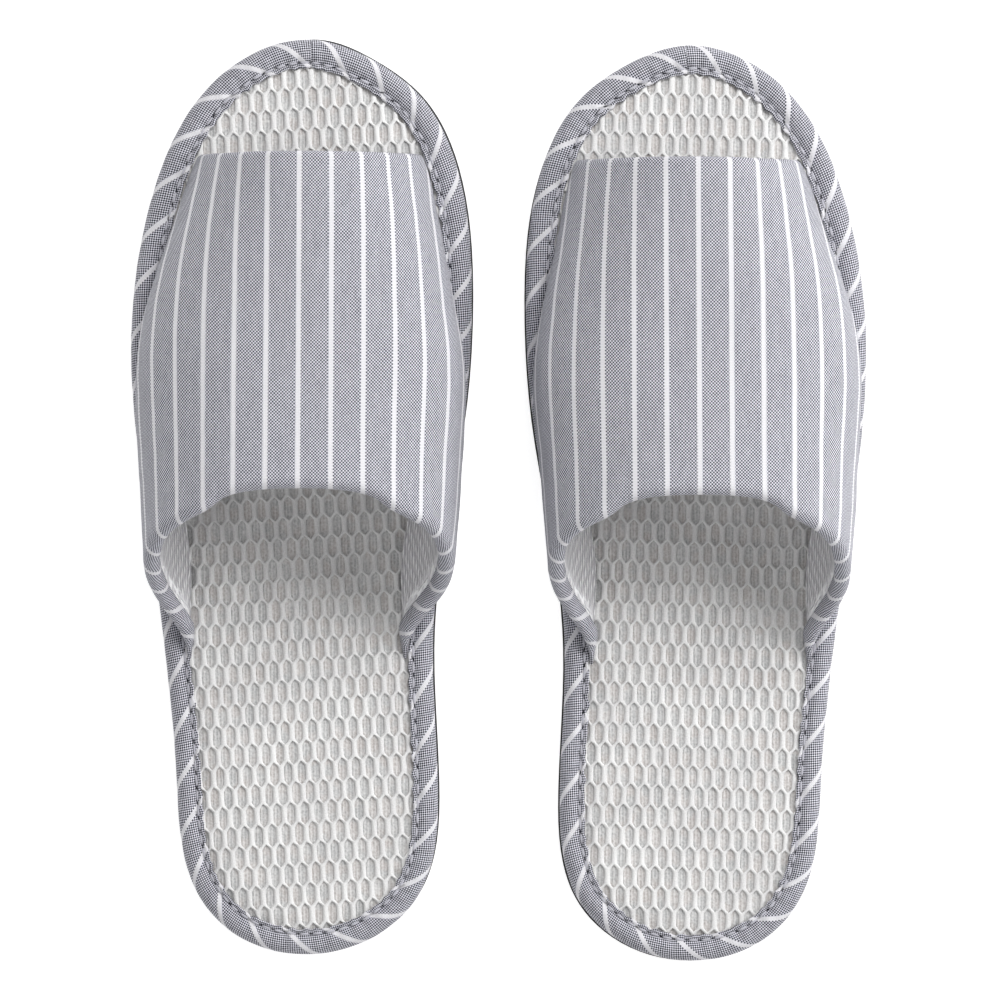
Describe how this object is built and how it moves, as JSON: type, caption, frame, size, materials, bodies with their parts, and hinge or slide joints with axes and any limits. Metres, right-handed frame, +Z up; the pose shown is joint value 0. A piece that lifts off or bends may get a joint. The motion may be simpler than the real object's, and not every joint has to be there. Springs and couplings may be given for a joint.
{
  "type": "pair of open-toe slippers",
  "caption": "Pair of open-toe spa slippers: flat cushioned soles bound in striped bias tape, with padded, lined striped cloth uppers.",
  "frame": {"origin": "on the floor, midway between the left and the right slipper, at the centre of the pair's footprint", "axes": "+Z up, +Y from heel to toe, +X from the left slipper to the right one"},
  "size_m": [0.217, 0.2728, 0.0693],
  "materials": {
    "outsole_rubber": "fine matt texture, moulded ribs",
    "insole_fibreboard": "plain pressed fibreboard",
    "cushion_foam": "soft open-cell foam",
    "base_cloth": "fine plain knit under the spacer mesh",
    "spacer_mesh_knit": "raised white net of long hexagons, matt",
    "striped_bias_tape": "blue-grey plain weave cut on the bias, thin white stripes",
    "sewing_thread": "grey spun sewing thread",
    "striped_upper_cloth": "blue-grey plain weave, thin white lengthwise stripes",
    "upper_wadding": "soft white wadding",
    "lining_mesh": "fine light grey knitted mesh"
  },
  "bodies": {
    "left_slipper": {"left_outsole": "outsole_rubber", "left_insole_board": "insole_fibreboard", "left_foam_cushion": "cushion_foam", "left_insole_base_cloth": "base_cloth", "left_spacer_mesh": "spacer_mesh_knit", "left_sole_binding": "striped_bias_tape", "left_needle_thread": "sewing_thread", "left_bobbin_thread": "sewing_thread", "left_upper_outer": "striped_upper_cloth", "left_upper_padding": "upper_wadding", "left_upper_lining": "lining_mesh"},
    "right_slipper": {"right_outsole": "outsole_rubber", "right_insole_board": "insole_fibreboard", "right_foam_cushion": "cushion_foam", "right_insole_base_cloth": "base_cloth", "right_spacer_mesh": "spacer_mesh_knit", "right_sole_binding": "striped_bias_tape", "right_needle_thread": "sewing_thread", "right_bobbin_thread": "sewing_thread", "right_upper_outer": "striped_upper_cloth", "right_upper_padding": "upper_wadding", "right_upper_lining": "lining_mesh"}
  },
  "joints": [
    {"name": "right_slipper_lift", "type": "slide", "parent": "left_slipper", "child": "right_slipper", "axis": [0, 0, 1], "range_m": [0, 0.25]}
  ]
}
